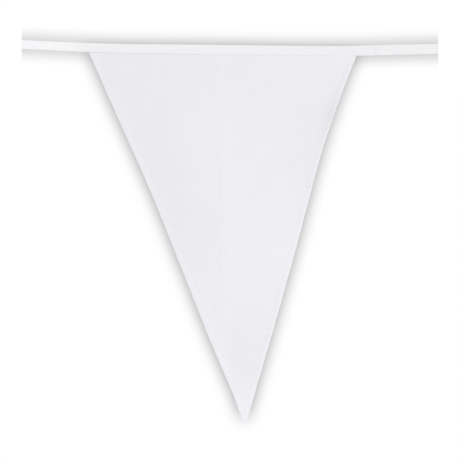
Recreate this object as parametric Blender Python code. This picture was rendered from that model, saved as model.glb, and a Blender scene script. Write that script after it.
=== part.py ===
"""A cloth pennant hanging from a folded tape. Metres, +Z up.

The origin is the middle of the tape's top edge. X runs along the tape, the pennant's face looks
towards -Y, and its tip hangs towards -Z.
"""

import math
from collections import namedtuple

import bmesh
import bpy

# Layers and the gaps between them
CLOTH_THICK = 0.0010
HEM_THICK = 0.0008
TAPE_THICK = 0.0010
PIECE_GAP = 0.0003
LAYER_GAP = 0.0004

# The tape, seen from the front: a row for each bend of its line
# along: place on X; top: height of the folded top edge; tall: from there to the lower edges
TapeRow = namedtuple("TapeRow", "along top tall")
TAPE_LINE = (
    TapeRow(-0.1668, 0.0040, 0.0071),
    TapeRow(-0.1468, 0.0029, 0.0069),
    TapeRow(-0.1150, 0.0016, 0.0071),
    TapeRow(-0.0800, 0.0008, 0.0073),
    TapeRow(-0.0400, 0.0004, 0.0075),
    TapeRow(0.0000, 0.0000, 0.0077),
    TapeRow(0.0450, -0.0005, 0.0078),
    TapeRow(0.0900, -0.0008, 0.0079),
    TapeRow(0.1120, -0.0003, 0.0080),
    TapeRow(0.1350, 0.0003, 0.0080),
    TapeRow(0.1668, 0.0008, 0.0078),
)
TAPE_STATION = 0.0050
TAPE_OPEN_PAST_CORNER = 0.0050
TAPE_CLOSING_RUN = 0.0080
OUTER_BEND_STEPS = 8
INNER_BEND_STEPS = 6

# The pennant's slanted sides: a row for each change of their line
# down: distance below the origin; left, right: the two edges' places on X
# middle: the lengthwise crease, and below its end the middle of what is left of the cloth
SideRow = namedtuple("SideRow", "down left middle right")
PENNANT_SIDES = (
    SideRow(0.0010, -0.1150, -0.0062, 0.1045),
    SideRow(0.0092, -0.1114, -0.0062, 0.1009),
    SideRow(0.0476, -0.0945, -0.0062, 0.0860),
    SideRow(0.0860, -0.0773, -0.0062, 0.0733),
    SideRow(0.1244, -0.0605, -0.0062, 0.0629),
    SideRow(0.1628, -0.0451, -0.0062, 0.0528),
    SideRow(0.2012, -0.0298, -0.0050, 0.0421),
    SideRow(0.2396, -0.0145, 0.0060, 0.0311),
    SideRow(0.2780, 0.0019, 0.0110, 0.0200),
    SideRow(0.2972, 0.0090, 0.0117, 0.0144),
    SideRow(0.3004, 0.0102, 0.0118, 0.0134),
)
PENNANT_DOWN = 0.3004
HEM_WIDE = 0.0064
HEM_STEP = 0.0008
HEM_START = 0.0005
HEM_FADE = 0.0030
TOP_EDGE_BELOW_BEND = 0.0002

# The pennant's soft folds: a row for each
# from_x, from_down, to_x, to_down: the ends of its crest; wide: from the crest to its foot
# forward: how far the crest stands towards the viewer, or back where it is negative
Fold = namedtuple("Fold", "name from_x from_down to_x to_down wide forward")
PENNANT_FOLDS = (
    Fold("middle swell", 0.000, 0.110, 0.008, 0.215, 0.042, 0.0017),
    Fold("upper hollow", 0.010, 0.040, 0.006, 0.090, 0.040, -0.0016),
    Fold("upper left swell", -0.060, 0.030, -0.040, 0.080, 0.032, 0.0012),
    Fold("upper right hollow", 0.050, 0.030, 0.045, 0.080, 0.030, -0.0010),
    Fold("lengthwise crease", -0.0062, 0.020, -0.0062, 0.215, 0.009, 0.0003),
    Fold("left edge hollow", -0.088, 0.030, -0.060, 0.120, 0.030, -0.0010),
    Fold("left swell", -0.030, 0.120, -0.018, 0.170, 0.020, 0.0007),
    Fold("left edge roll", -0.050, 0.160, -0.020, 0.230, 0.018, 0.0004),
    Fold("right edge roll", 0.086, 0.080, 0.074, 0.104, 0.016, 0.0009),
    Fold("right corner roll", 0.103, 0.024, 0.092, 0.056, 0.014, 0.0065),
    Fold("right edge pinch", 0.048, 0.200, 0.040, 0.230, 0.014, 0.0008),
    Fold("cross crease", -0.020, 0.2155, 0.036, 0.2155, 0.009, 0.0003),
    Fold("low right roll", 0.034, 0.225, 0.020, 0.275, 0.022, 0.0014),
    Fold("low left hollow", -0.012, 0.235, 0.004, 0.275, 0.018, -0.0008),
    Fold("low hollow", 0.008, 0.262, 0.014, 0.268, 0.020, -0.0007),
)
FOLD_START = 0.0010
FOLD_FADE = 0.0800

# The grid of the pennant's two faces
COLUMNS_EACH_SIDE = 14
ROWS_IN_TAPE = 3
ROWS_BELOW_TAPE = 60
WIDEST_HEM_SHARE = 0.45
TAPE_LINE_FADE = 8
PLACE_ROUNDS = 4

SMOOTH_ANGLE = math.radians(40)
CLOTH_COLOUR = (0.840, 0.832, 0.872, 1.0)
TAPE_COLOUR = (0.885, 0.885, 0.905, 1.0)
CLOTH_ROUGHNESS = 0.85
TAPE_ROUGHNESS = 0.75


def clear_scene():
    for old in list(bpy.data.objects):
        bpy.data.objects.remove(old)


def smooth_step(value, start, end):
    """0 before start, 1 after end, and a soft rise between them."""
    share = min(1.0, max(0.0, (value - start) / (end - start)))
    return share * share * (3 - 2 * share)


def read_line(rows, place, column, at):
    """The value of a table's column at a place between its rows, on a smooth curve through all of them."""
    places = [getattr(row, place) for row in rows]
    values = [getattr(row, column) for row in rows]
    last = len(rows) - 1

    def slope(i):
        before, after = max(i - 1, 0), min(i + 1, last)
        return (values[after] - values[before]) / (places[after] - places[before])

    i = 0
    while i < last - 1 and at > places[i + 1]:
        i += 1
    span = places[i + 1] - places[i]
    t = min(1.0, max(0.0, (at - places[i]) / span))
    rise = values[i + 1] - values[i]
    start_bend = slope(i) * span - rise
    end_bend = rise - slope(i + 1) * span
    return values[i] + rise * t + t * (1 - t) * (start_bend * (1 - t) + end_bend * t)


def tape_top(x):
    return read_line(TAPE_LINE, "along", "top", x)


def tape_low(x):
    return tape_top(x) - read_line(TAPE_LINE, "along", "tall", x)


def side(name, z):
    return read_line(PENNANT_SIDES, "down", name, -z)


def fold_forward(fold, x, z):
    """How far one fold stands forward at a place: full along its line, fading past its ends and feet."""
    run_x = fold.to_x - fold.from_x
    run_z = fold.from_down - fold.to_down
    length = math.hypot(run_x, run_z)
    off_x = x - fold.from_x
    off_z = z + fold.from_down
    along = (off_x * run_x + off_z * run_z) / length
    across = (off_x * run_z - off_z * run_x) / length
    past = max(0.0, -along, along - length)
    return fold.forward * math.exp(-(across ** 2 + past ** 2) / fold.wide ** 2)


def cloth_back(x, z):
    """The pennant's middle surface: its place on Y, 0 where the tape holds it."""
    below = tape_low(x) - z
    hold = smooth_step(below, FOLD_START, FOLD_FADE)
    return -hold * sum(fold_forward(fold, x, z) for fold in PENNANT_FOLDS)


def hem_relief(x, z):
    """The hems' extra thickness on the back: both together where they cross at the tip."""
    below = tape_low(x) - z
    free = smooth_step(below, HEM_START, HEM_FADE)
    bands = sum(
        1 - smooth_step(inside, HEM_WIDE - HEM_STEP, HEM_WIDE)
        for inside in (x - side("left", z), side("right", z) - x)
    )
    return HEM_THICK * free * bands


def make_material(name, colour, roughness):
    material = bpy.data.materials.new(name)
    material.use_nodes = True
    shader = material.node_tree.nodes["Principled BSDF"]
    shader.inputs["Base Color"].default_value = colour
    shader.inputs["Roughness"].default_value = roughness
    shader.inputs["Metallic"].default_value = 0.0
    return material


def finish_object(name, build, material):
    """Turns a closed bmesh into a named object with its faces outwards."""
    bmesh.ops.recalc_face_normals(build, faces=build.faces)
    mesh = bpy.data.meshes.new(name)
    build.to_mesh(mesh)
    build.free()
    mesh.shade_smooth()
    mesh.set_sharp_from_angle(angle=SMOOTH_ANGLE)
    mesh.materials.append(material)
    item = bpy.data.objects.new(name, mesh)
    bpy.context.scene.collection.objects.link(item)
    return item


def pennant_rows():
    """Shares of the way down: a few rows inside the tape, then even rows to the tip."""
    drop_in_tape = -tape_low(0.0) / PENNANT_DOWN
    inside = [drop_in_tape * i / ROWS_IN_TAPE for i in range(ROWS_IN_TAPE)]
    below = [
        drop_in_tape + (1 - drop_in_tape) * i / ROWS_BELOW_TAPE
        for i in range(ROWS_BELOW_TAPE + 1)
    ]
    return inside + below


def pennant_columns(z):
    """Places on X across one row: both edges of each hem's step, and even columns up to the middle line."""
    left, middle, right = (side(name, z) for name in ("left", "middle", "right"))
    hem = min(HEM_WIDE, WIDEST_HEM_SHARE * (right - left))
    step = HEM_STEP * hem / HEM_WIDE
    shares = [i / COLUMNS_EACH_SIDE for i in range(COLUMNS_EACH_SIDE)]
    from_left = [left + hem + (middle - left - hem) * share for share in shares]
    from_right = [right - hem + (middle - right + hem) * share for share in reversed(shares)]
    return [left, left + hem - step, *from_left, middle, *from_right, right - hem + step, right]


def pennant_point(row_share, column):
    """A grid point on X and Z. The top rows follow the tape's line, and the lower ones are level."""
    bend_height = TAPE_THICK + CLOTH_THICK / 2 + PIECE_GAP + TOP_EDGE_BELOW_BEND
    level = -bend_height - row_share * (PENNANT_DOWN - bend_height)
    x, z = 0.0, level
    for _ in range(PLACE_ROUNDS):
        x = pennant_columns(z)[column]
        z = level + tape_top(x) * (1 - row_share) ** TAPE_LINE_FADE
    return x, z


def make_pennant():
    build = bmesh.new()
    column_count = len(pennant_columns(0.0))
    front, back = [], []
    for share in pennant_rows():
        points = [pennant_point(share, column) for column in range(column_count)]
        front.append([
            build.verts.new((x, cloth_back(x, z) - CLOTH_THICK / 2, z)) for x, z in points
        ])
        back.append([
            build.verts.new((x, cloth_back(x, z) + CLOTH_THICK / 2 + hem_relief(x, z), z))
            for x, z in points
        ])
    for grid in (front, back):
        for upper, lower in zip(grid, grid[1:]):
            for i in range(column_count - 1):
                build.faces.new((upper[i], upper[i + 1], lower[i + 1], lower[i]))
    rims = (
        (front[0], back[0]),
        (front[-1], back[-1]),
        ([row[0] for row in front], [row[0] for row in back]),
        ([row[-1] for row in front], [row[-1] for row in back]),
    )
    for near, far in rims:
        for i in range(len(near) - 1):
            build.faces.new((near[i], near[i + 1], far[i + 1], far[i]))
    material = make_material("pennant_cloth", CLOTH_COLOUR, CLOTH_ROUGHNESS)
    return finish_object("pennant", build, material)


def tape_half_gap(x):
    """Half the space between the tape's layers: wide over the pennant, closed where the tape runs free."""
    over_cloth = CLOTH_THICK / 2 + PIECE_GAP
    free = LAYER_GAP / 2
    left = PENNANT_SIDES[0].left - TAPE_OPEN_PAST_CORNER
    right = PENNANT_SIDES[0].right + TAPE_OPEN_PAST_CORNER
    outside = max(left - x, x - right)
    return over_cloth + (free - over_cloth) * smooth_step(outside, 0.0, TAPE_CLOSING_RUN)


def tape_section(x):
    """The folded tape's section, a ring of points on Y and Z: over its outside, and back over its inside."""
    top, low = tape_top(x), tape_low(x)
    inner = tape_half_gap(x)
    outer = inner + TAPE_THICK
    bend = top - outer
    ring = [(-outer, low)]
    for i in range(OUTER_BEND_STEPS + 1):
        turn = math.pi * i / OUTER_BEND_STEPS
        ring.append((-outer * math.cos(turn), bend + outer * math.sin(turn)))
    ring += [(outer, low), (inner, low)]
    for i in range(INNER_BEND_STEPS + 1):
        turn = math.pi * i / INNER_BEND_STEPS
        ring.append((inner * math.cos(turn), bend + inner * math.sin(turn)))
    ring.append((-inner, low))
    return ring


def make_tape():
    build = bmesh.new()
    start, end = TAPE_LINE[0].along, TAPE_LINE[-1].along
    count = round((end - start) / TAPE_STATION)
    rings = []
    for i in range(count + 1):
        x = start + (end - start) * i / count
        rings.append([build.verts.new((x, y, z)) for y, z in tape_section(x)])
    size = len(rings[0])
    for near, far in zip(rings, rings[1:]):
        for i in range(size):
            j = (i + 1) % size
            build.faces.new((near[i], near[j], far[j], far[i]))
    build.faces.new(rings[0])
    build.faces.new(rings[-1])
    material = make_material("tape_cloth", TAPE_COLOUR, TAPE_ROUGHNESS)
    return finish_object("tape", build, material)


def main():
    clear_scene()
    make_tape()
    make_pennant()


main()
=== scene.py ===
"""Looks of a cloth pennant that hangs from a folded tape. Metres, +Z up.

X runs along the tape, the pennant's face looks towards -Y, and its tip hangs towards -Z.
The tables and fold functions are the ones of the solids, so every piece lies where its solid does.
"""

import math
from collections import namedtuple

import bmesh
import bpy
import numpy as np
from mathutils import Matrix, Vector


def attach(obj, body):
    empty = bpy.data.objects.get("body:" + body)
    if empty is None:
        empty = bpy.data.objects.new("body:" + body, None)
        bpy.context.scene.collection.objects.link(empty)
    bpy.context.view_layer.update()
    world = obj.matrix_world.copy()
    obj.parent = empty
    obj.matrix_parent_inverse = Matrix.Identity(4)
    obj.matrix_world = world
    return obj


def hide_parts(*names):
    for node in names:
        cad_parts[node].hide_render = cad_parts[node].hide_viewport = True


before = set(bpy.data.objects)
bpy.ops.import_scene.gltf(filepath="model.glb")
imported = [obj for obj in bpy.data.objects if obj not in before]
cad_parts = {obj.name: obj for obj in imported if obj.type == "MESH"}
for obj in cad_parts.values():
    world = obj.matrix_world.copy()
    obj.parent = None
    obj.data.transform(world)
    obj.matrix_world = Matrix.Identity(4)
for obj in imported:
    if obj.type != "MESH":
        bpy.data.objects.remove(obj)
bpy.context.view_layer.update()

MM = 0.001

# The tape, seen from the front: a row for each bend of its line
# along: place on X; top: height of the folded top edge; tall: from there to the lower edges
TapeRow = namedtuple("TapeRow", "along top tall")
TAPE_LINE = (
    TapeRow(-0.1668, 0.0040, 0.0071),
    TapeRow(-0.1468, 0.0029, 0.0069),
    TapeRow(-0.1150, 0.0016, 0.0071),
    TapeRow(-0.0800, 0.0008, 0.0073),
    TapeRow(-0.0400, 0.0004, 0.0075),
    TapeRow(0.0000, 0.0000, 0.0077),
    TapeRow(0.0450, -0.0005, 0.0078),
    TapeRow(0.0900, -0.0008, 0.0079),
    TapeRow(0.1120, -0.0003, 0.0080),
    TapeRow(0.1350, 0.0003, 0.0080),
    TapeRow(0.1668, 0.0008, 0.0078),
)

# The pennant's slanted sides: a row for each change of their line
# down: distance below the origin; left, right: the two edges' places on X
# middle: the lengthwise crease, and below its end the middle of what is left of the cloth
SideRow = namedtuple("SideRow", "down left middle right")
PENNANT_SIDES = (
    SideRow(0.0010, -0.1150, -0.0062, 0.1045),
    SideRow(0.0092, -0.1114, -0.0062, 0.1009),
    SideRow(0.0476, -0.0945, -0.0062, 0.0860),
    SideRow(0.0860, -0.0773, -0.0062, 0.0733),
    SideRow(0.1244, -0.0605, -0.0062, 0.0629),
    SideRow(0.1628, -0.0451, -0.0062, 0.0528),
    SideRow(0.2012, -0.0298, -0.0050, 0.0421),
    SideRow(0.2396, -0.0145, 0.0060, 0.0311),
    SideRow(0.2780, 0.0019, 0.0110, 0.0200),
    SideRow(0.2972, 0.0090, 0.0117, 0.0144),
    SideRow(0.3004, 0.0102, 0.0118, 0.0134),
)
PENNANT_DOWN = 0.3004
TOP_EDGE_BELOW_FOLD = 0.0020
TAPE_LINE_FADE = 8
PLACE_ROUNDS = 4

# The pennant's soft folds, as in the solids
# from_x, from_down, to_x, to_down: the ends of its crest; wide: from the crest to its foot
# forward: how far the crest stands towards the viewer, or back where it is negative
Fold = namedtuple("Fold", "name from_x from_down to_x to_down wide forward")
PENNANT_FOLDS = (
    Fold("middle swell", 0.000, 0.110, 0.008, 0.215, 0.042, 0.0017),
    Fold("upper hollow", 0.010, 0.040, 0.006, 0.090, 0.040, -0.0016),
    Fold("upper left swell", -0.060, 0.030, -0.040, 0.080, 0.032, 0.0012),
    Fold("upper right hollow", 0.050, 0.030, 0.045, 0.080, 0.030, -0.0010),
    Fold("lengthwise crease", -0.0062, 0.020, -0.0062, 0.215, 0.009, 0.0003),
    Fold("left edge hollow", -0.088, 0.030, -0.060, 0.120, 0.030, -0.0010),
    Fold("left swell", -0.030, 0.120, -0.018, 0.170, 0.020, 0.0007),
    Fold("left edge roll", -0.050, 0.160, -0.020, 0.230, 0.018, 0.0004),
    Fold("right edge roll", 0.086, 0.080, 0.074, 0.104, 0.016, 0.0009),
    Fold("right corner roll", 0.103, 0.024, 0.092, 0.056, 0.014, 0.0065),
    Fold("right edge pinch", 0.048, 0.200, 0.040, 0.230, 0.014, 0.0008),
    Fold("cross crease", -0.020, 0.2155, 0.036, 0.2155, 0.009, 0.0003),
    Fold("low right roll", 0.034, 0.225, 0.020, 0.275, 0.022, 0.0014),
    Fold("low left hollow", -0.012, 0.235, 0.004, 0.275, 0.018, -0.0008),
    Fold("low hollow", 0.008, 0.262, 0.014, 0.268, 0.020, -0.0007),
)
FOLD_START = 0.0010
FOLD_FADE = 0.0800

# Fine creases that the solids leave out, with the same columns
FINE_CREASES = (
    Fold("crease line", -0.0062, 0.050, -0.0060, 0.214, 0.0014, 0.00005),
    Fold("cross crease line", -0.0240, 0.2153, 0.0380, 0.2157, 0.0014, 0.00005),
    Fold("right edge nick", 0.0580, 0.1133, 0.0625, 0.1143, 0.0010, -0.00050),
    Fold("right edge pinch", 0.0520, 0.1100, 0.0600, 0.1124, 0.0024, 0.00012),
    Fold("left edge pull", -0.0700, 0.0940, -0.0580, 0.1120, 0.0040, -0.00012),
    Fold("low left pull", -0.0300, 0.1900, -0.0120, 0.2260, 0.0045, 0.00010),
    Fold("upper right pull", 0.0760, 0.0240, 0.0640, 0.0560, 0.0060, 0.00014),
    Fold("upper left pull", -0.0900, 0.0200, -0.0700, 0.0520, 0.0060, 0.00012),
)

# Uneven waves. length: of the longest sine in the mix; start: which stretch of it is used
Wave = namedtuple("Wave", "length start")
LEFT_EDGE_WAVE = Wave(0.031, 1.3)
RIGHT_EDGE_WAVE = Wave(0.027, 4.9)
CREASE_WAVE = Wave(0.023, 2.4)
LEFT_SEAM_WAVE = Wave(0.0125, 0.6)
RIGHT_SEAM_WAVE = Wave(0.0125, 3.7)
GATHER_WAVE = Wave(0.0150, 5.2)
SLANT_WAVE = Wave(0.034, 0.9)
CROSS_WAVE = Wave(0.047, 2.2)
TAPE_FRONT_WAVE = Wave(0.011, 2.9)
TAPE_BACK_WAVE = Wave(0.011, 1.1)
TAPE_LOW_WAVE = Wave(0.019, 0.4)
TAPE_TOP_WAVE = Wave(0.028, 3.3)

# The pennant's cloth and its hems, both turned twice to the back
CLOTH_THICK = 0.24 * MM
LAYER_PITCH = 0.34 * MM
HEM_WIDE = 6.4 * MM
LEFT_HEM_SHORT_OF_EDGE = 0.5 * MM
RIGHT_HEM_SHORT_OF_EDGE = 1.0 * MM
HEM_RAW_EDGE = 0.9 * MM
HEM_STEP_SOFT = 0.3 * MM
CROSSING_RISE = 3.4 * MM
CROSSING_CLEAR = 0.15 * MM
HEM_SEAM_IN = 4.95 * MM
SEAM_GROOVE = 0.08 * MM
SEAM_GROOVE_WIDE = 0.55 * MM
SEAM_PUCKER = 0.09 * MM
SEAM_PUCKER_WIDE = 3.2 * MM
TAPE_PUCKER = 0.09 * MM
TAPE_PUCKER_DOWN = 13 * MM
TAPE_SWELL = 0.22 * MM
TAPE_SWELL_DOWN = 9 * MM
TAPE_SWELL_START = (0.25 * MM, 0.65 * MM)
HEM_CURL = 0.20 * MM
HEM_CURL_WIDE = 8.5 * MM
HEM_CURL_WHERE_WIDE = (16 * MM, 45 * MM)
CREASE_UNEVEN = 0.22
CLOTH_UNEVEN = 0.05 * MM
UNEVEN_LEANS = (0.35, -0.20)
EDGE_UNEVEN = 0.11 * MM
LEFT_EDGE_OUT = 0.10 * MM
RIGHT_EDGE_IN = 0.20 * MM
RELIEF_FADE = 3 * MM
SLOPE_STEP = 0.2 * MM

# The tape's strip: each long edge is tucked inside, and the strip is folded over the cloth
TAPE_THICK = 0.16 * MM
TUCK_PITCH = 0.205 * MM
TUCK_TALL = 3.2 * MM
TUCK_FADE = 1.5 * MM
OUTER_LAYER_REST = 0.03 * MM
CLOSED_GAP = 0.02 * MM
CLOTH_GAP = 0.145 * MM
TAPE_OPENING_RUN = 3.6 * MM
TAPE_OPENING_CLEAR = 0.3 * MM
TAPE_CLOSES_ABOVE_CLOTH = (0.1 * MM, 1.5 * MM)
TOP_BEND = 0.16 * MM
TAPE_SEAM_UP = 1.3 * MM
TAPE_SEAM_GROOVE = 0.012 * MM
TAPE_SEAM_GROOVE_WIDE = 0.4 * MM
TAPE_RIPPLE = 0.03 * MM
TAPE_RIPPLE_IN = 0.02 * MM
TAPE_RIPPLE_UP = (2.0 * MM, 4.5 * MM)
TAPE_EDGE_UNEVEN = 0.07 * MM
TAPE_EDGE_LOWER = 0.4
TUCK_RISE_BELOW = 0.1 * MM

# Thread
# share: how far along the stitch; stands: above the cloth; thick: against the thread's own
StitchRow = namedtuple("StitchRow", "share stands thick")
THREAD_THICK = 0.20 * MM
THREAD_FLAT = 0.8
STITCH_PITCH = 2.5 * MM
STITCH_SHARE = 0.84
STITCH_ROWS = (
    StitchRow(0.00, -0.16 * MM, 0.55),
    StitchRow(0.10, -0.03 * MM, 0.90),
    StitchRow(0.30, 0.02 * MM, 1.00),
    StitchRow(0.70, 0.02 * MM, 1.00),
    StitchRow(0.90, -0.03 * MM, 0.90),
    StitchRow(1.00, -0.16 * MM, 0.55),
)
STITCH_SIDES = 6
STITCH_SLANT = 0.035 * MM
STITCH_UNEVEN = 0.05
STITCH_WAVE = 3.7
LEFT_HEM_STITCHES = 0.3
RIGHT_HEM_STITCHES = 2.7
TAPE_STITCHES = 1.9
TAPE_SEAM_ENDS = (0.5 * MM, 0.3 * MM)
HEM_SEAM_BELOW_TAPE = 0.5 * MM
HEM_SEAM_ENDS = 7 * MM
HEM_LINE_PLACES = 1200

# How much lighter the cloth is made in places: 1 is as much as where both hems lie behind it.
# Over one hem by its extra layers; painted light near the tip, a painted highlight at the left fold, and
# painted light right under the tape at its left and from its middle on
ONE_HEM_LIGHTER = 0.2
TIP_PAINTED_LIGHT = 1.4
TIP_PAINTED_LIGHT_DOWN = (0.268, 0.276)
EDGE_PAINTED_HIGHLIGHT = 1.0
EDGE_PAINTED_HIGHLIGHT_IN = (0.5 * MM, 1.9 * MM)
TAPE_LINE_PAINTED_LIGHT = (1.0, 3.4)
TAPE_LINE_PAINTED_LIGHT_RISES = (-0.060, -0.010)
TAPE_LINE_PAINTED_LIGHT_DOWN = (0.5 * MM, 1.3 * MM)

# Grid of the pennant's sheet. Rows lie closer together at the tape, the nick, the cross crease and the tip
# down: the middle of such a stretch; reach: how far it runs; step: from row to row in its middle
ROW_STEP = 1.30 * MM
FineRows = namedtuple("FineRows", "down reach step")
FINE_ROWS = (
    FineRows(0.0085, 0.003, 0.32 * MM),
    FineRows(0.1138, 0.003, 0.42 * MM),
    FineRows(0.2155, 0.003, 0.50 * MM),
    FineRows(0.2920, 0.013, 0.42 * MM),
)

# Columns: HEM_COLUMNS are shares of the hem's width, closer together at its seam
COLUMNS_EACH_SIDE = 36
COLUMNS_CROWD_TO_MIDDLE = 1.5
MIDDLE_CLEAR = 0.05 * MM
HEM_COLUMNS = (0.19, 0.38, 0.56, 0.69, 0.773, 0.86, 0.94, 1.0, 1.08, 1.22)
WIDEST_HEM_COLUMN_SHARE = 0.40
HEM_COLUMN_PAST_FOLD = 1.15
HEM_COLUMN_LEAST_STEP = 0.12
HEM_FLAT_PLACES = 9
INNER_TURN = np.radians((-60, -30, 0, 30, 60))
EDGE_TURN = np.radians((67.5, 45, 22.5, 0, -22.5, -45, -67.5))
HEM_RING = 2 * HEM_FLAT_PLACES + len(INNER_TURN) + len(EDGE_TURN) + 1

# Edges of a mesh that turn by more than this, in degrees, look sharp
CLOTH_SHARP = 60
THREAD_SHARP = 80

# Grid of the tape
TAPE_STATION = 1.0 * MM
TUCK_PLACES = 6
OUTER_PLACES = 19
LOWER_TURN = np.radians((-60, -30, 0, 30, 60))
TOP_TURN = np.radians((-72, -54, -36, -18, 0, 18, 36, 54, 72))

# Painted light along the tape: lighter towards its left end, and a little darker from its middle to the
# right
PaintedLightRow = namedtuple("PaintedLightRow", "along lighter")
TAPE_PAINTED_LIGHT = (
    PaintedLightRow(-0.1668, 0.085),
    PaintedLightRow(-0.1300, 0.078),
    PaintedLightRow(-0.1120, 0.030),
    PaintedLightRow(-0.0800, 0.018),
    PaintedLightRow(0.0000, 0.000),
    PaintedLightRow(0.1000, -0.024),
    PaintedLightRow(0.1668, -0.022),
)

# The woven cloths. pitch_x, pitch_z: from yarn to yarn; relief: how far the yarns stand up
# shade: darker between the yarns; slub: uneven yarns; cloud: faint patches; streak: long faint lines
# wander: how far the yarns stray from a straight line, in yarns
Weave = namedtuple("Weave", "pitch_x pitch_z relief shade slub cloud wander streak")
CLOTH_WEAVE = Weave(0.42 * MM, 0.40 * MM, 0.05 * MM, 0.030, 0.014, 0.012, 0.5, 0.0)
TAPE_WEAVE = Weave(0.30 * MM, 0.34 * MM, 0.04 * MM, 0.025, 0.010, 0.008, 0.3, 0.012)
THREAD_TWIST = Weave(0.16 * MM, 0.16 * MM, 0.02 * MM, 0.030, 0.010, 0.010, 0.0, 0.0)

# thick: how much the stored attribute of extra layers and painted light lightens the cloth
Finish = namedtuple("Finish", "name colour thick weave roughness sheen specular")
PENNANT_FINISH = Finish("pennant_weave", (0.762, 0.755, 0.792), 0.016, CLOTH_WEAVE, 0.88, 0.06, 0.25)
TAPE_FINISH = Finish("tape_weave", (0.790, 0.786, 0.802), 1.0, TAPE_WEAVE, 0.72, 0.10, 0.35)
THREAD_FINISH = Finish("thread_twist", (0.782, 0.776, 0.806), 0.0, THREAD_TWIST, 0.60, 0.10, 0.40)
COLOUR_SPAN = 0.10
MEAN_YARN = 0.4
SHEEN_ROUGHNESS = 0.5
SWAY_PER_METRE = 90.0
CLOUDS_PER_METRE = 45.0
CLOUD_DETAIL = 3.0
CLOUD_ROUGHNESS = 0.6
SLUB_ACROSS = 0.9
SLUB_ALONG = 0.035
WARP_SLUBS = 3.1
WEFT_SLUBS = 7.7
SLUB_RELIEF = 0.35
SLUB_ROUGHNESS = 0.04
STREAKS_PER_METRE = (12.0, 600.0)

# The stage: a white wall close behind, as in the photograph, a pale floor far below, soft light
# WALL_LEVEL: how brightly the wall glows by itself; SHADE_DEPTH: how much of that the cloth's painted shadow
# takes away where it is full
WALL_BEHIND = 0.0056
WALL_HALF = 0.75
WALL_LEVEL = 1.004
SHADE_DEPTH = 0.82
SHADE_CELL = 0.4 * MM
SHADE_CELLS_REACH = 17
SHADE_CELLS_PER_FACE = 5
SHADE_BLURS = 2
SHADE_END_SOFT = 0.4 * MM
SHADE_WIDE = 0.200
SHADE_LOW = -0.336
SHADE_HIGH = 0.040
FLOOR_HEIGHT = -1.15
FLOOR_HALF = 8.0
FLOOR_COLOUR = (0.93, 0.93, 0.93)
FLOOR_ROUGHNESS = 0.95
FLOOR_SPECULAR = 0.1
SKY_LEVEL = 0.737
SKY_SEEN = 1.03
WHITE = (1.0, 1.0, 1.0, 1.0)

# from_x, from_y, from_z: where it stands; power: of a sun in watts a square metre, of the fill in watts
# spread: a sun's angle in degrees, the fill's width in metres
Lamp = namedtuple("Lamp", "name from_x from_y from_z power spread")
SUNS = (
    Lamp("key", 0.62, -0.62, 0.48, 0.896, 40),
    Lamp("rear", -0.50, 0.62, 0.52, 0.85, 40),
)
FILL = Lamp("fill", 0.83, -0.85, -0.45, 3.045, 0.5)

CAMERA_AWAY = 1.5
FRAME_WIDE = 0.368
CAMERA_HEIGHT = -0.14804
SENSOR_WIDE = 36.0
CLIP_START = 0.05
CLIP_END = 50.0

# The shadow painted on the wall is worked out as if it fell straight back from the camera's place, so it is
# this much larger than the cloth
SHADE_GROWS = 1 + WALL_BEHIND / CAMERA_AWAY


def smooth_step(value, start, end):
    """0 before start, 1 after end, and a soft rise between them."""
    share = np.clip((value - start) / (end - start), 0.0, 1.0)
    return share * share * (3 - 2 * share)


def read_line(rows, place, column, at):
    """The values of a table's column at places between its rows, on a smooth curve through all of them."""
    places = np.array([getattr(row, place) for row in rows])
    values = np.array([getattr(row, column) for row in rows])
    last = len(rows) - 1
    before = np.maximum(np.arange(last + 1) - 1, 0)
    after = np.minimum(np.arange(last + 1) + 1, last)
    slopes = (values[after] - values[before]) / (places[after] - places[before])
    i = np.clip(np.searchsorted(places, at, side="left") - 1, 0, last - 1)
    span = places[i + 1] - places[i]
    t = np.clip((at - places[i]) / span, 0.0, 1.0)
    rise = values[i + 1] - values[i]
    start_bend = slopes[i] * span - rise
    end_bend = rise - slopes[i + 1] * span
    return values[i] + rise * t + t * (1 - t) * (start_bend * (1 - t) + end_bend * t)


def tape_top(x):
    return read_line(TAPE_LINE, "along", "top", x)


def tape_low(x):
    return tape_top(x) - read_line(TAPE_LINE, "along", "tall", x)


def waves(at, wave):
    """An uneven wave between about -1 and 1: three sines whose lengths never fall together."""
    turn = 2 * math.pi * np.asarray(at) / wave.length + wave.start
    mix = 0.46 * np.sin(turn) + 0.31 * np.sin(1.618 * turn + 2.1 * wave.start)
    return mix + 0.23 * np.sin(2.732 * turn + 0.7 * wave.start)


def left_edge(z):
    line = read_line(PENNANT_SIDES, "down", "left", -z) - LEFT_EDGE_OUT
    return line + EDGE_UNEVEN * waves(z, LEFT_EDGE_WAVE)


def right_edge(z):
    line = read_line(PENNANT_SIDES, "down", "right", -z) - RIGHT_EDGE_IN
    return line + EDGE_UNEVEN * waves(z, RIGHT_EDGE_WAVE)


def middle_line(z):
    return read_line(PENNANT_SIDES, "down", "middle", -z)


def fold_forward(fold, x, z):
    """How far one fold stands forward: full along its line, fading past its ends and feet."""
    run_x = fold.to_x - fold.from_x
    run_z = fold.from_down - fold.to_down
    length = math.hypot(run_x, run_z)
    off_x = x - fold.from_x
    off_z = z + fold.from_down
    along = (off_x * run_x + off_z * run_z) / length
    across = (off_x * run_z - off_z * run_x) / length
    past = np.maximum(0.0, np.maximum(-along, along - length))
    return fold.forward * np.exp(-(across**2 + past**2) / fold.wide**2)


def cloth_back(x, z):
    """The middle surface of the solid: its place on Y, 0 where the tape holds it."""
    hold = smooth_step(tape_low(x) - z, FOLD_START, FOLD_FADE)
    return -hold * sum(fold_forward(fold, x, z) for fold in PENNANT_FOLDS)


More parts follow.
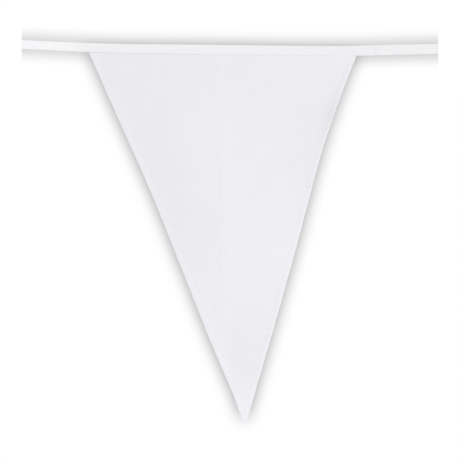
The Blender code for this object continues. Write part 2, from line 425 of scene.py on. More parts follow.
def seam_relief(inside, along, wave):
    """A hem's seam, forward: a groove along the thread and uneven puckers beside it."""
    off = inside - HEM_SEAM_IN
    groove = -SEAM_GROOVE * np.exp(-((off / SEAM_GROOVE_WIDE) ** 2))
    pucker = SEAM_PUCKER * waves(along, wave) * np.exp(-((off / SEAM_PUCKER_WIDE) ** 2))
    return groove + pucker


def fine_forward(x, z):
    """Creases, seams and unevenness of the real cloth, on top of the solid's folds."""
    below = tape_low(x) - z
    free = smooth_step(below, 0.0, RELIEF_FADE)
    relief = sum(fold_forward(crease, x, z) for crease in FINE_CREASES)
    relief = relief * (1 - CREASE_UNEVEN + CREASE_UNEVEN * waves(x + z, CREASE_WAVE))
    left, right = left_edge(z), right_edge(z)
    relief = relief + seam_relief(x - left, z, LEFT_SEAM_WAVE)
    relief = relief + seam_relief(right - x, z, RIGHT_SEAM_WAVE)
    gathers = waves(x, GATHER_WAVE) * np.exp(-((below / TAPE_PUCKER_DOWN) ** 2))
    relief = relief + TAPE_PUCKER * gathers
    swell = smooth_step(below, *TAPE_SWELL_START) * np.exp(-((below / TAPE_SWELL_DOWN) ** 2))
    uneven = waves(x + UNEVEN_LEANS[0] * z, SLANT_WAVE) * waves(z + UNEVEN_LEANS[1] * x, CROSS_WAVE)
    curl = HEM_CURL * smooth_step(right - left, *HEM_CURL_WHERE_WIDE)
    for inside in (x - left, right - x):
        relief = relief + curl * (1 - smooth_step(inside, 0.0, HEM_CURL_WIDE))
    return free * (relief + CLOTH_UNEVEN * uneven) + TAPE_SWELL * swell


def sheet_middle(x, z):
    """The front layer's middle surface."""
    return cloth_back(x, z) - fine_forward(x, z)


def hem_widths(left, right):
    """Both hems' widths in a row: less than the full width where the cloth is narrow."""
    wide = right - left
    return (
        np.minimum(HEM_WIDE, wide - LEFT_HEM_SHORT_OF_EDGE),
        np.minimum(HEM_WIDE, wide - RIGHT_HEM_SHORT_OF_EDGE),
    )


def crossing_lift(x, right, right_hem):
    """How far the left hem is lifted where it lies over the right one, near the tip."""
    past = x - (right - right_hem)
    return 2 * LAYER_PITCH * smooth_step(past, -CROSSING_RISE - CROSSING_CLEAR, -CROSSING_CLEAR)


def rear_depth(x, z):
    """How far behind the front layer the rearmost one lies."""
    left, right = left_edge(z), right_edge(z)
    left_hem, right_hem = hem_widths(left, right)
    on_left = (x - left < left_hem) * (2 * LAYER_PITCH + crossing_lift(x, right, right_hem))
    on_right = (right - x < right_hem) * 2 * LAYER_PITCH
    return np.maximum(on_left, on_right)


def hems_at(x, z):
    """How many hems lie at a place, with a soft step at their inner edges."""
    left, right = left_edge(z), right_edge(z)
    left_hem, right_hem = hem_widths(left, right)
    count = 2 - smooth_step(x - left, left_hem - HEM_STEP_SOFT, left_hem + HEM_STEP_SOFT)
    return count - smooth_step(right - x, right_hem - HEM_STEP_SOFT, right_hem + HEM_STEP_SOFT)


def turned_hem(hem, lift_at):
    """A turned hem's section, from the cut edge inside it to the front layer.

    It gives pairs of arrays over the rows: how far in from the slanted edge, and how far behind the
    front layer. lift_at gives the extra depth at a place.
    """
    p = LAYER_PITCH
    ring = []
    inner_turn = hem - p / 2
    for share in np.linspace(0.0, 1.0, HEM_FLAT_PLACES):
        inward = HEM_RAW_EDGE + (inner_turn - HEM_RAW_EDGE) * share
        inward = np.minimum(inward, np.maximum(inner_turn, 0.0))
        ring.append((inward, p + lift_at(inward)))
    rise = (lift_at(inner_turn + SLOPE_STEP) - lift_at(inner_turn - SLOPE_STEP)) / (2 * SLOPE_STEP)
    for turn in INNER_TURN:
        off, behind = p / 2 * np.cos(turn), p / 2 * np.sin(turn)
        inward = inner_turn + (off - rise * behind) / np.hypot(1, rise)
        depth = 1.5 * p + lift_at(inner_turn) + (rise * off + behind) / np.hypot(1, rise)
        ring.append((inward, depth))
    for share in np.linspace(1.0, 0.0, HEM_FLAT_PLACES):
        inward = p + (inner_turn - p) * share
        ring.append((inward, 2 * p + lift_at(inward)))
    fold_centre = np.full_like(hem, p)
    edge_depth = 2 * p + lift_at(fold_centre)
    for turn in EDGE_TURN:
        ring.append((p - p * np.cos(turn), edge_depth / 2 * (1 + np.sin(turn))))
    ring.append((fold_centre, np.zeros_like(hem)))
    return ring


def pennant_levels():
    """The rows' distances below the tape's fold, and their shares of the way down."""
    downs = [TOP_EDGE_BELOW_FOLD]
    while downs[-1] < PENNANT_DOWN:
        step = ROW_STEP
        for fine in FINE_ROWS:
            near = math.exp(-(((downs[-1] - fine.down) / fine.reach) ** 2))
            step = min(step, ROW_STEP + (fine.step - ROW_STEP) * near)
        downs.append(downs[-1] + step)
    downs = np.array(downs)
    return downs, (downs - downs[0]) / (downs[-1] - downs[0])


def make_mesh(name, vertices, faces, sharp):
    """A closed mesh object with its faces outwards."""
    mesh = bpy.data.meshes.new(name)
    mesh.from_pydata(vertices.tolist(), [], faces)
    build = bmesh.new()
    build.from_mesh(mesh)
    bmesh.ops.recalc_face_normals(build, faces=build.faces)
    build.to_mesh(mesh)
    build.free()
    mesh.shade_smooth()
    mesh.set_sharp_from_angle(angle=math.radians(sharp))
    item = bpy.data.objects.new(name, mesh)
    bpy.context.scene.collection.objects.link(item)
    return item


def thick_sheet(points, thickness):
    """Vertices and faces of a closed sheet around a grid of middle points."""
    rows, columns = points.shape[:2]
    down = np.gradient(points, axis=0)
    across = np.gradient(points, axis=1)
    normals = np.cross(across, down)
    normals /= np.linalg.norm(normals, axis=2, keepdims=True)
    near = points - normals * thickness / 2
    far = points + normals * thickness / 2
    vertices = np.concatenate((near.reshape(-1, 3), far.reshape(-1, 3)))
    index = np.arange(rows * columns).reshape(rows, columns)
    a, b = index[:-1, :-1], index[:-1, 1:]
    c, d = index[1:, 1:], index[1:, :-1]
    quads = np.stack((a, b, c, d), axis=-1).reshape(-1, 4)
    shift = rows * columns
    faces = quads.tolist() + (quads[:, ::-1] + shift).tolist()
    for rim in (index[0], index[-1], index[:, 0], index[:, -1]):
        faces += [
            (int(rim[k]), int(rim[k + 1]), int(rim[k + 1]) + shift, int(rim[k]) + shift)
            for k in range(len(rim) - 1)
        ]
    return vertices, faces


def front_columns():
    """The front layer's columns from left to right, each with its kind and its place in a list of shares."""
    rows = [("left hem", i) for i in range(len(HEM_COLUMNS))]
    rows += [("left", i) for i in range(1, COLUMNS_EACH_SIDE)]
    rows += [("middle", 0)]
    rows += [("right", i) for i in reversed(range(1, COLUMNS_EACH_SIDE))]
    rows += [("right hem", i) for i in reversed(range(len(HEM_COLUMNS)))]
    return rows


def front_place(kind, i, left, right, middle):
    """X of one column of the front layer, between a row's two edges."""
    scale = np.minimum(HEM_WIDE, WIDEST_HEM_COLUMN_SHARE * (right - left) / HEM_COLUMNS[-1])
    left_end = left + HEM_COLUMNS[-1] * scale
    right_end = right - HEM_COLUMNS[-1] * scale
    middle = np.clip(middle, left_end + MIDDLE_CLEAR, right_end - MIDDLE_CLEAR)
    if kind == "middle":
        return middle
    if kind in ("left", "right"):
        end = left_end if kind == "left" else right_end
        share = 1 - (1 - i / COLUMNS_EACH_SIDE) ** COLUMNS_CROWD_TO_MIDDLE
        return end + (middle - end) * share
    past_fold = LAYER_PITCH * (HEM_COLUMN_PAST_FOLD + HEM_COLUMN_LEAST_STEP * i)
    inward = np.maximum(HEM_COLUMNS[i] * scale, past_fold)
    return left + inward if kind == "left hem" else right - inward


def pennant_places(z):
    """X and depth for each column of the grid, at the heights of a round before."""
    places, depths = [], []

    def edges():
        """Both edges and hem widths along the next column."""
        height = z[:, len(places)]
        left, right = left_edge(height), right_edge(height)
        return left, right, *hem_widths(left, right)

    for k in range(HEM_RING):
        left, right, left_hem, right_hem = edges()

        def lift(inward, left=left, right=right, right_hem=right_hem):
            return crossing_lift(left + inward, right, right_hem)

        inward, depth = turned_hem(left_hem, lift)[k]
        places.append(left + inward)
        depths.append(depth)

    for kind, i in front_columns():
        left, right, _, _ = edges()
        place = front_place(kind, i, left, right, middle_line(z[:, len(places)]))
        places.append(place)
        depths.append(np.zeros_like(place))

    for k in reversed(range(HEM_RING)):
        left, right, left_hem, right_hem = edges()
        inward, depth = turned_hem(right_hem, np.zeros_like)[k]
        places.append(right - inward)
        depths.append(depth)

    return np.stack(places, axis=1), np.stack(depths, axis=1)


def pennant_grid():
    """The grid of the sheet's middle: rows from the tape to the tip, columns round both hems."""
    downs, shares = pennant_levels()
    level = -downs[:, None]
    fade = (1 - shares[:, None]) ** TAPE_LINE_FADE
    z = np.repeat(level, 2 * HEM_RING + len(front_columns()), axis=1)
    for _ in range(PLACE_ROUNDS):
        x, depth = pennant_places(z)
        z = level + tape_top(x) * fade
    return x, z, depth


def pennant_layers_and_painted_light(x, z):
    """How much lighter the cloth is made at each place of the grid: by its hems, and by painted light near
    the tip, along the left fold and under the tape.
    """
    hems = hems_at(x, z)
    lighter_by = ONE_HEM_LIGHTER * np.minimum(hems, 1.0) + (1 - ONE_HEM_LIGHTER) * np.maximum(hems - 1.0, 0.0)
    # painted light near the tip, on top of the overlapping hems
    lighter_by = np.maximum(lighter_by, TIP_PAINTED_LIGHT * smooth_step(-z, *TIP_PAINTED_LIGHT_DOWN))
    # a painted highlight along the left fold
    lighter_by = lighter_by + EDGE_PAINTED_HIGHLIGHT * (1 - smooth_step(x - left_edge(z), *EDGE_PAINTED_HIGHLIGHT_IN))
    # painted light right under the tape's lower edge, lifting the shade there, stronger from the middle on
    line = TAPE_LINE_PAINTED_LIGHT[0] + np.ptp(TAPE_LINE_PAINTED_LIGHT) * smooth_step(x, *TAPE_LINE_PAINTED_LIGHT_RISES)
    return lighter_by + line * (1 - smooth_step(tape_low(x) - z, *TAPE_LINE_PAINTED_LIGHT_DOWN))


def store(item, name, values):
    """Keeps a value for each point of a mesh, for its material to read."""
    kept = item.data.attributes.new(name, "FLOAT", "POINT")
    kept.data.foreach_set("value", values.astype(np.float32))


def make_pennant():
    """The pennant's cloth. The rear plies of cloth are set back square to the main folds."""
    x, z, depth = pennant_grid()
    slope = (cloth_back(x + SLOPE_STEP, z) - cloth_back(x - SLOPE_STEP, z)) / (2 * SLOPE_STEP)
    behind = depth / np.sqrt(1 + slope**2)
    points = np.stack((x - slope * behind, sheet_middle(x, z) + behind, z), axis=2)
    vertices, faces = thick_sheet(points, CLOTH_THICK)
    pennant = make_mesh("pennant_sheet", vertices, faces, CLOTH_SHARP)
    # the hems' extra layers and the painted light, for the material to read
    store(pennant, "layers_and_painted_light", np.tile(pennant_layers_and_painted_light(x, z).reshape(-1), 2))
    return pennant


def over_cloth(x, z):
    """1 where the tape lies over the pennant, 0 where it runs free, and soft between."""
    inside = np.minimum(x - left_edge(z), right_edge(z) - x)
    return smooth_step(inside, -TAPE_OPENING_RUN, -TAPE_OPENING_CLEAR)


def over_hem(x, z):
    """1 where the tape lies over a hem, and 0 again above the cloth's top edge."""
    share = 0.0
    for inside in (x - left_edge(z), right_edge(z) - x):
        starts = smooth_step(inside, -TAPE_OPENING_RUN, -TAPE_OPENING_CLEAR)
        ends = smooth_step(inside - HEM_WIDE, TAPE_OPENING_CLEAR, TAPE_OPENING_RUN)
        share = share + starts * (1 - ends)
    above_cloth = z - tape_top(x) + TOP_EDGE_BELOW_FOLD
    return share * (1 - smooth_step(above_cloth, *TAPE_CLOSES_ABOVE_CLOTH))


def tape_gap(x, z, to_back):
    """From the middle plane to the tape's inner face, at the front or at the back."""
    gap = CLOSED_GAP + (CLOTH_GAP - CLOSED_GAP) * over_cloth(x, z)
    return gap + (2 * LAYER_PITCH * over_hem(x, z) if to_back else 0.0)


def tape_outer(x, z, to_back):
    """From the middle plane to the middle of the tape's outer layer."""
    up = z - tape_low(x)
    tucked = 1 - smooth_step(up, TUCK_TALL - TUCK_RISE_BELOW, TUCK_TALL + TUCK_FADE)
    lift = OUTER_LAYER_REST + (TUCK_PITCH - OUTER_LAYER_REST) * tucked
    groove = TAPE_SEAM_GROOVE * np.exp(-(((up - TAPE_SEAM_UP) / TAPE_SEAM_GROOVE_WIDE) ** 2))
    ripple = TAPE_RIPPLE * waves(x, TAPE_BACK_WAVE if to_back else TAPE_FRONT_WAVE)
    ripple = np.maximum(ripple * smooth_step(up, *TAPE_RIPPLE_UP), -TAPE_RIPPLE_IN)
    return tape_gap(x, z, to_back) + TAPE_THICK / 2 + lift - groove + ripple


def tape_grid():
    """The grid of the tape's middle: a ring of places on Y and Z for each station along X."""
    start, end = TAPE_LINE[0].along, TAPE_LINE[-1].along
    count = round((end - start) / TAPE_STATION)
    x = np.linspace(start, end, count + 1)
    low = tape_low(x) + TAPE_EDGE_UNEVEN * (waves(x, TAPE_LOW_WAVE) - TAPE_EDGE_LOWER)
    top = tape_top(x) + TAPE_EDGE_UNEVEN / 2 * waves(x, TAPE_TOP_WAVE)
    turn_radius = TUCK_PITCH / 2
    low_turn = low + turn_radius + TAPE_THICK / 2
    top_turn = top - TOP_BEND - TAPE_THICK / 2
    tuck_end = low + TUCK_TALL

    def half(to_back):
        """From the tuck's cut edge down, round the lower edge and up to the top bend."""
        sign = 1.0 if to_back else -1.0
        ring = []
        for share in np.linspace(1.0, 0.0, TUCK_PLACES):
            z = low_turn + (tuck_end - low_turn) * share
            ring.append((sign * (tape_gap(x, z, to_back) + TAPE_THICK / 2), z))
        inner = tape_gap(x, low_turn, to_back) + TAPE_THICK / 2
        for turn in LOWER_TURN:
            z = low_turn - turn_radius * np.cos(turn)
            ring.append((sign * (inner + turn_radius * (1 + np.sin(turn))), z))
        for share in np.linspace(0.0, 1.0, OUTER_PLACES):
            z = low_turn + (top_turn - low_turn) * share
            ring.append((sign * tape_outer(x, z, to_back), z))
        return ring

    front, back = half(False), half(True)
    near, far = front[-1][0], back[-1][0]
    bend = []
    for turn in TOP_TURN:
        y = (near + far) / 2 + (far - near) / 2 * np.sin(turn)
        bend.append((y, top_turn + TOP_BEND * np.cos(turn)))
    ring = front + bend + back[::-1]
    y = np.stack([point[0] for point in ring], axis=1)
    z = np.stack([point[1] for point in ring], axis=1)
    return np.stack((np.repeat(x[:, None], len(ring), axis=1), y, z), axis=2)


def make_tape():
    """The folded tape with both its long edges tucked in."""
    points = tape_grid()
    vertices, faces = thick_sheet(points, TAPE_THICK)
    tape = make_mesh("tape_strip", vertices, faces, CLOTH_SHARP)
    # painted light and shade along the tape, from the table above
    lighter_by = read_line(TAPE_PAINTED_LIGHT, "along", "lighter", points[..., 0])
    store(tape, "layers_and_painted_light", np.tile(lighter_by.reshape(-1), 2))
    return tape


def stitch(start, end, outward):
    """One stitch as a small closed tube: it comes out of the cloth, lies on it and goes back in."""
    along = end - start
    length = along.length
    along.normalize()
    side = along.cross(outward).normalized()
    rings = []
    for row in STITCH_ROWS:
        centre = start + along * (length * row.share) + outward * row.stands
        ring = []
        for k in range(STITCH_SIDES):
            turn = 2 * math.pi * k / STITCH_SIDES
            reach = side * math.cos(turn) + outward * (THREAD_FLAT * math.sin(turn))
            ring.append(centre + reach * (THREAD_THICK / 2 * row.thick))
        rings.append(ring)
    return rings


def make_stitches(name, stitches):
    """All stitches of one seam as one object."""
    vertices, faces = [], []
    for rings in stitches:
        base = len(vertices)
        for ring in rings:
            vertices += [tuple(point) for point in ring]
        for r in range(len(rings) - 1):
            for k in range(STITCH_SIDES):
                j = (k + 1) % STITCH_SIDES
                a = base + r * STITCH_SIDES
                b = a + STITCH_SIDES
                faces.append((a + k, a + j, b + j, b + k))
        last = base + (len(rings) - 1) * STITCH_SIDES
        faces.append(tuple(range(base, base + STITCH_SIDES))[::-1])
        faces.append(tuple(range(last, last + STITCH_SIDES)))
    return make_mesh(name, np.array(vertices), faces, THREAD_SHARP)


def seam_stitches(line, front_face, back_face, first, last, uneven):
    """Stitches on both faces along a line. line gives X and Z for a distance, the faces give Y.

    uneven picks the stretch of the wave by which their places wander.
    """
    found = []
    count = int((last - first) / STITCH_PITCH)
    for side, face in ((-1.0, front_face), (1.0, back_face)):
        for i in range(count):
            shift = STITCH_UNEVEN * STITCH_PITCH * float(waves(i, Wave(STITCH_WAVE, uneven + side)))
            at = first + STITCH_PITCH * (i + (0.5 if side > 0 else 0.0)) + shift
            if at + STITCH_PITCH > last:
                continue
            ends = []
            for share in (0.0, STITCH_SHARE):
                x, z = line(at + STITCH_PITCH * share)
                slant = STITCH_SLANT if share else -STITCH_SLANT
                ends.append(Vector((x + slant, face(x + slant, z), z)))
            found.append(stitch(ends[0], ends[1], Vector((0.0, side, 0.0))))
    return found


def hem_line(edge, inward):
    """The seam along a slanted edge: X and Z by the distance down along it, and where it starts and ends."""
    downs = np.linspace(0.0, PENNANT_DOWN, HEM_LINE_PLACES)
    xs = edge(-downs) + inward
    run = np.concatenate(([0.0], np.cumsum(np.hypot(np.diff(xs), np.diff(downs)))))

    def at(distance):
        down = float(np.interp(distance, run, downs))
        return float(np.interp(down, downs, xs)), -down

    start = float(np.interp(HEM_SEAM_BELOW_TAPE, tape_low(xs) + downs, run))
    return at, start, run[-1] - HEM_SEAM_ENDS


def pennant_front(x, z):
    """Y of the cloth's front face."""
    return float(sheet_middle(np.float64(x), np.float64(z))) - CLOTH_THICK / 2


def pennant_rear(x, z):
    """Y of the rearmost layer's back face."""
    middle = float(sheet_middle(np.float64(x), np.float64(z)))
    return middle + float(rear_depth(np.float64(x), np.float64(z))) + CLOTH_THICK / 2


def make_hem_stitches():
    """The seams of both hems."""
    found = []
    for edge, inward, uneven in (
        (left_edge, HEM_SEAM_IN, LEFT_HEM_STITCHES),
        (right_edge, -HEM_SEAM_IN, RIGHT_HEM_STITCHES),
    ):
        line, first, last = hem_line(edge, inward)
        found += seam_stitches(line, pennant_front, pennant_rear, first, last, uneven)
    return make_stitches("hem_stitches", found)


def make_tape_stitches():
    """The seam near the tape's lower edge, through all its plies."""
    start, end = TAPE_LINE[0].along, TAPE_LINE[-1].along

    def line(distance):
        x = start + distance
        return x, float(tape_low(np.float64(x))) + TAPE_SEAM_UP

    def front(x, z):
        return -float(tape_outer(np.float64(x), np.float64(z), False)) - TAPE_THICK / 2

    def back(x, z):
        return float(tape_outer(np.float64(x), np.float64(z), True)) + TAPE_THICK / 2

    last = end - start - TAPE_SEAM_ENDS[1]
    found = seam_stitches(line, front, back, TAPE_SEAM_ENDS[0], last, TAPE_STITCHES)
    return make_stitches("tape_stitches", found)


class NodeTree:
    """A material's nodes, made one after another."""

    def __init__(self, material):
        material.use_nodes = True
        self.tree = material.node_tree
        self.shader = self.tree.nodes["Principled BSDF"]

    def plug(self, value, socket):
        """Links another node's output to a socket, or gives the socket a value."""
        if isinstance(value, bpy.types.NodeSocket):
            self.tree.links.new(value, socket)
        else:
            socket.default_value = value

    def add(self, kind, **inputs):
        node = self.tree.nodes.new(kind)
        for name, value in inputs.items():
            self.plug(value, node.inputs[name])
        return node

    def math(self, operation, a, b=0.0, c=0.0):
        node = self.tree.nodes.new("ShaderNodeMath")
        node.operation = operation
        for value, socket in zip((a, b, c), node.inputs):
            self.plug(value, socket)
        return node.outputs[0]

    def times(self, a, b):
        return self.math("MULTIPLY", a, b)

    def plus(self, base, value, share):
        """A value times its share, on top of a base."""
        return self.math("MULTIPLY_ADD", value, share, base)

    def noise(self, x, y, z, scale=1.0, detail=2.0, rough=0.5):
        """A soft noise between about -1 and 1."""
        place = self.add("ShaderNodeCombineXYZ", X=x, Y=y, Z=z).outputs[0]
        node = self.add("ShaderNodeTexNoise", Vector=place, Scale=scale, Detail=detail, Roughness=rough)
        return self.math("MULTIPLY_ADD", node.outputs["Fac"], 2.0, -1.0)


def plain_weave(nodes, weave, x, z):
    """Height of a plain weave's yarns, and how much thicker or thinner they are from place to place."""
    sway = nodes.noise(x, 0.0, z, SWAY_PER_METRE)
    u = nodes.plus(nodes.times(sway, weave.wander), x, 1 / weave.pitch_x)
    v = nodes.plus(nodes.times(sway, -weave.wander), z, 1 / weave.pitch_z)
    across = nodes.math("SINE", nodes.times(u, math.pi))
    up = nodes.math("SINE", nodes.times(v, math.pi))
    over = nodes.math("GREATER_THAN", nodes.times(across, up), 0.0)
    across = nodes.math("ABSOLUTE", across)
    up = nodes.math("ABSOLUTE", up)
    mound = nodes.math("SQRT", nodes.times(across, up))
    narrow = nodes.plus(up, over, nodes.math("SUBTRACT", across, up))
    yarn = nodes.times(mound, nodes.math("SQRT", narrow))
    warp = nodes.noise(nodes.times(u, SLUB_ACROSS), nodes.times(v, SLUB_ALONG), WARP_SLUBS)
    weft = nodes.noise(nodes.times(u, SLUB_ALONG), nodes.times(v, SLUB_ACROSS), WEFT_SLUBS)
    return yarn, nodes.math("ADD", warp, weft)


def make_cloth_material(finish):
    """Plain woven cloth: raised yarns with painted shade between them, uneven yarn thickness, faint
    clouding, and lighter hems with painted light besides.
    """
    material = bpy.data.materials.new(finish.name)
    nodes = NodeTree(material)
    weave = finish.weave
    place = nodes.add("ShaderNodeTexCoord").outputs["Object"]
    x, y, z = nodes.add("ShaderNodeSeparateXYZ", Vector=place).outputs[:3]
    yarn, slub = plain_weave(nodes, weave, x, z)
    cloud = nodes.noise(x, y, z, CLOUDS_PER_METRE, CLOUD_DETAIL, CLOUD_ROUGHNESS)
    layers_and_painted_light = nodes.add("ShaderNodeAttribute")
    layers_and_painted_light.attribute_name = "layers_and_painted_light"

    # lighter over extra layers, and by the painted light stored with them
    level = nodes.plus(1 - weave.shade * MEAN_YARN, layers_and_painted_light.outputs["Fac"], finish.thick)
    level = nodes.plus(level, yarn, weave.shade)
    level = nodes.plus(level, slub, weave.slub)
    level = nodes.plus(level, cloud, weave.cloud)
    if weave.streak:
        across, up = STREAKS_PER_METRE
        streak = nodes.noise(nodes.times(x, across), y, nodes.times(z, up))
        level = nodes.plus(level, streak, weave.streak)

    shade = nodes.add("ShaderNodeMix")
    shade.data_type = "RGBA"
    shade.clamp_factor = False
    off = nodes.math("SUBTRACT", level, 1.0)
    nodes.plug(nodes.plus(0.5, off, 1 / (2 * COLOUR_SPAN)), shade.inputs["Factor"])
    shade.inputs["A"].default_value = (*tint(finish.colour, 1 - COLOUR_SPAN), 1.0)
    shade.inputs["B"].default_value = (*tint(finish.colour, 1 + COLOUR_SPAN), 1.0)

    height = nodes.plus(yarn, slub, SLUB_RELIEF)
    bump = nodes.add("ShaderNodeBump", Strength=1.0, Distance=weave.relief, Height=height)
    for name, value in (
        ("Base Color", shade.outputs["Result"]),
        ("Normal", bump.outputs["Normal"]),
        ("Roughness", nodes.plus(finish.roughness, slub, SLUB_ROUGHNESS)),
        ("Specular IOR Level", finish.specular),
        ("Sheen Weight", finish.sheen),
        ("Sheen Roughness", SHEEN_ROUGHNESS),
    ):
        nodes.plug(value, nodes.shader.inputs[name])
    return material


def tint(colour, factor):
    return tuple(part * factor for part in colour)


def add_stage(name, vertices, faces):
    """A mesh that isn't part of the object."""
    mesh = bpy.data.meshes.new(name)
    mesh.from_pydata(vertices, [], faces)
    item = bpy.data.objects.new(name, mesh)
    bpy.context.scene.collection.objects.link(item)
    return item


def cloth_covers(x, z):
    """1 where the pennant or the tape, as if it ran on, lies in front of a place, 0 elsewhere."""
    under_top = z < tape_top(x)
    tape = under_top & (z > tape_low(x))
    pennant = under_top & (x > left_edge(z)) & (x < right_edge(z)) & (-z < PENNANT_DOWN)
    return (tape | pennant).astype(float)


def box_blur(values, reach, axis):
    """The mean over a run of cells along one axis, as far to one side as to the other."""
    total = np.cumsum(values, axis=axis)
    cells = 2 * reach + 1
    return (np.roll(total, -reach, axis=axis) - np.roll(total, reach + 1, axis=axis)) / cells


def painted_soft_shadow():
    """A painted shadow for the wall: the cloth's outline blurred as a soft light beside the camera would
    throw it, on a grid of X and Z.
    """
    across = np.arange(-SHADE_WIDE, SHADE_WIDE + SHADE_CELL / 2, SHADE_CELL)
    up = np.arange(SHADE_LOW, SHADE_HIGH + SHADE_CELL / 2, SHADE_CELL)
    x, z = np.meshgrid(across, up)
    shade = cloth_covers(x / SHADE_GROWS, CAMERA_HEIGHT + (z - CAMERA_HEIGHT) / SHADE_GROWS)
    for axis in (0, 1):
        for _ in range(SHADE_BLURS):
            shade = box_blur(shade, SHADE_CELLS_REACH, axis)
    every = SHADE_CELLS_PER_FACE
    return across[::every], up[::every], shade[::every, ::every]


def make_wall():
    """A white wall that glows by itself, with the cloth's soft shadow painted on, clear when seen from
    behind.

    As in the photograph, the shade stops where the tape ends.
    """
    across, up, shade = painted_soft_shadow()
    end = TAPE_LINE[-1].along * SHADE_GROWS
    inside = np.abs(across) < end - SHADE_END_SOFT
    ends = np.array([end - SHADE_END_SOFT, end, WALL_HALF])
    across = np.concatenate((-ends[::-1], across[inside], ends))
    up = np.concatenate(([FLOOR_HEIGHT], up, [FLOOR_HEIGHT + 2 * WALL_HALF]))
    shade = np.pad(shade[:, inside], ((0, 0), (1, 1)), mode="edge")
    shade = np.pad(shade, ((1, 1), (2, 2)))
    x, z = np.meshgrid(across, up)
    y = np.full_like(x, WALL_BEHIND)
    index = np.arange(x.size).reshape(x.shape)
    corners = (index[:-1, :-1], index[:-1, 1:], index[1:, 1:], index[1:, :-1])
    faces = np.stack(corners, axis=-1).reshape(-1, 4)
    wall = add_stage("wall", np.stack((x, y, z), axis=-1).reshape(-1, 3).tolist(), faces.tolist())
    # the painted shadow, for the wall's material to read
    store(wall, "shade", shade.reshape(-1))
    wall.data.materials.append(make_wall_material())
    wall.visible_diffuse = False
    wall.visible_glossy = False
    wall.visible_transmission = False
    wall.visible_volume_scatter = False
    wall.visible_shadow = False


def make_wall_material():
    """An even glowing white that the painted shadow darkens, and nothing on the back."""
    material = bpy.data.materials.new("wall_glow_painted_shadow")
    material.use_nodes = True
    tree = material.node_tree
    tree.nodes.clear()
    shaded = tree.nodes.new("ShaderNodeAttribute")
    shaded.attribute_name = "shade"
    level = tree.nodes.new("ShaderNodeMath")
    level.operation = "MULTIPLY_ADD"
    level.inputs[1].default_value = -SHADE_DEPTH
    level.inputs[2].default_value = WALL_LEVEL
    glow = tree.nodes.new("ShaderNodeEmission")
    clear = tree.nodes.new("ShaderNodeBsdfTransparent")
    side = tree.nodes.new("ShaderNodeNewGeometry")
    mixed = tree.nodes.new("ShaderNodeMixShader")
    output = tree.nodes.new("ShaderNodeOutputMaterial")
    link = tree.links.new
    link(shaded.outputs["Fac"], level.inputs[0])
    link(level.outputs[0], glow.inputs["Strength"])
    link(side.outputs["Backfacing"], mixed.inputs["Fac"])
    link(glow.outputs["Emission"], mixed.inputs[1])
    link(clear.outputs["BSDF"], mixed.inputs[2])
    link(mixed.outputs["Shader"], output.inputs["Surface"])
    return material


def make_floor():
    """A pale matt floor, far below the tip."""
    half, low = FLOOR_HALF, FLOOR_HEIGHT
    corners = [(-half, -half, low), (half, -half, low), (half, half, low), (-half, half, low)]
    floor = add_stage("floor", corners, [(0, 1, 2, 3)])
    material = bpy.data.materials.new("floor_pale")
    nodes = NodeTree(material)
    nodes.shader.inputs["Base Color"].default_value = (*FLOOR_COLOUR, 1.0)
    nodes.shader.inputs["Roughness"].default_value = FLOOR_ROUGHNESS
    nodes.shader.inputs["Specular IOR Level"].default_value = FLOOR_SPECULAR
    floor.data.materials.append(material)


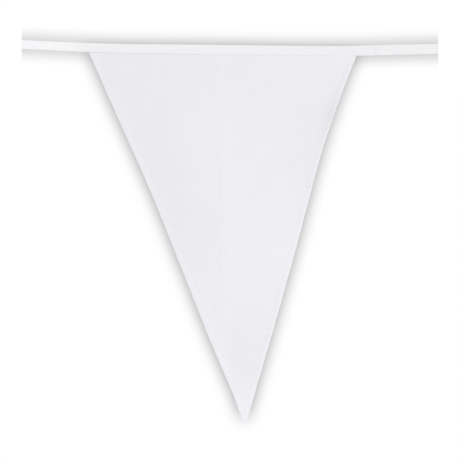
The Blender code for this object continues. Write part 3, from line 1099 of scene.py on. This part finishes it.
def make_sky():
    """An even soft light from all round, a little brighter where the camera sees it itself."""
    world = bpy.data.worlds.new("soft_sky")
    bpy.context.scene.world = world
    world.use_nodes = True
    tree = world.node_tree
    tree.nodes.clear()
    path = tree.nodes.new("ShaderNodeLightPath")
    mixed = tree.nodes.new("ShaderNodeMixShader")
    output = tree.nodes.new("ShaderNodeOutputWorld")
    for slot, strength in ((1, SKY_LEVEL), (2, SKY_SEEN)):
        sky = tree.nodes.new("ShaderNodeBackground")
        sky.inputs["Color"].default_value = WHITE
        sky.inputs["Strength"].default_value = strength
        tree.links.new(sky.outputs["Background"], mixed.inputs[slot])
    tree.links.new(path.outputs["Is Camera Ray"], mixed.inputs["Fac"])
    tree.links.new(mixed.outputs["Shader"], output.inputs["Surface"])


def add_lamp(lamp, light, aim):
    """Puts a light in its place, turned towards a point."""
    light.energy = lamp.power
    item = bpy.data.objects.new(lamp.name, light)
    item.location = (lamp.from_x, lamp.from_y, lamp.from_z)
    item.rotation_mode = "QUATERNION"
    item.rotation_quaternion = (item.location - aim).to_track_quat("Z", "Y")
    bpy.context.scene.collection.objects.link(item)


def make_light():
    """The sky, two broad suns and a fill near the camera."""
    make_sky()
    for lamp in SUNS:
        sun = bpy.data.lights.new(lamp.name, "SUN")
        sun.angle = math.radians(lamp.spread)
        add_lamp(lamp, sun, Vector((0.0, 0.0, 0.0)))
    fill = bpy.data.lights.new(FILL.name, "AREA")
    fill.shape = "DISK"
    fill.size = FILL.spread
    add_lamp(FILL, fill, Vector((0.0, 0.0, CAMERA_HEIGHT)))


def make_camera():
    """Straight in front, at the photograph's scale."""
    data = bpy.data.cameras.new("camera")
    data.sensor_width = SENSOR_WIDE
    data.lens = SENSOR_WIDE * CAMERA_AWAY / FRAME_WIDE
    data.clip_start = CLIP_START
    data.clip_end = CLIP_END
    data.dof.use_dof = False
    camera = bpy.data.objects.new("camera", data)
    camera.location = (0.0, -CAMERA_AWAY, CAMERA_HEIGHT)
    camera.rotation_euler = (math.radians(90), 0.0, 0.0)
    bpy.context.scene.collection.objects.link(camera)
    bpy.context.scene.camera = camera


def main():
    pennant = make_pennant()
    tape = make_tape()
    hem_thread = make_hem_stitches()
    tape_thread = make_tape_stitches()
    thread = make_cloth_material(THREAD_FINISH)
    for piece, material, slot in (
        (pennant, make_cloth_material(PENNANT_FINISH), "pennant_cloth"),
        (tape, make_cloth_material(TAPE_FINISH), "tape_cloth"),
        (hem_thread, thread, "pennant_cloth"),
        (tape_thread, thread, "tape_cloth"),
    ):
        piece.data.materials.append(material)
        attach(piece, "root")
    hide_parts("pennant")
    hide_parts("tape")
    make_wall()
    make_floor()
    make_light()
    make_camera()
    bpy.context.scene.view_settings.view_transform = "Standard"


main()
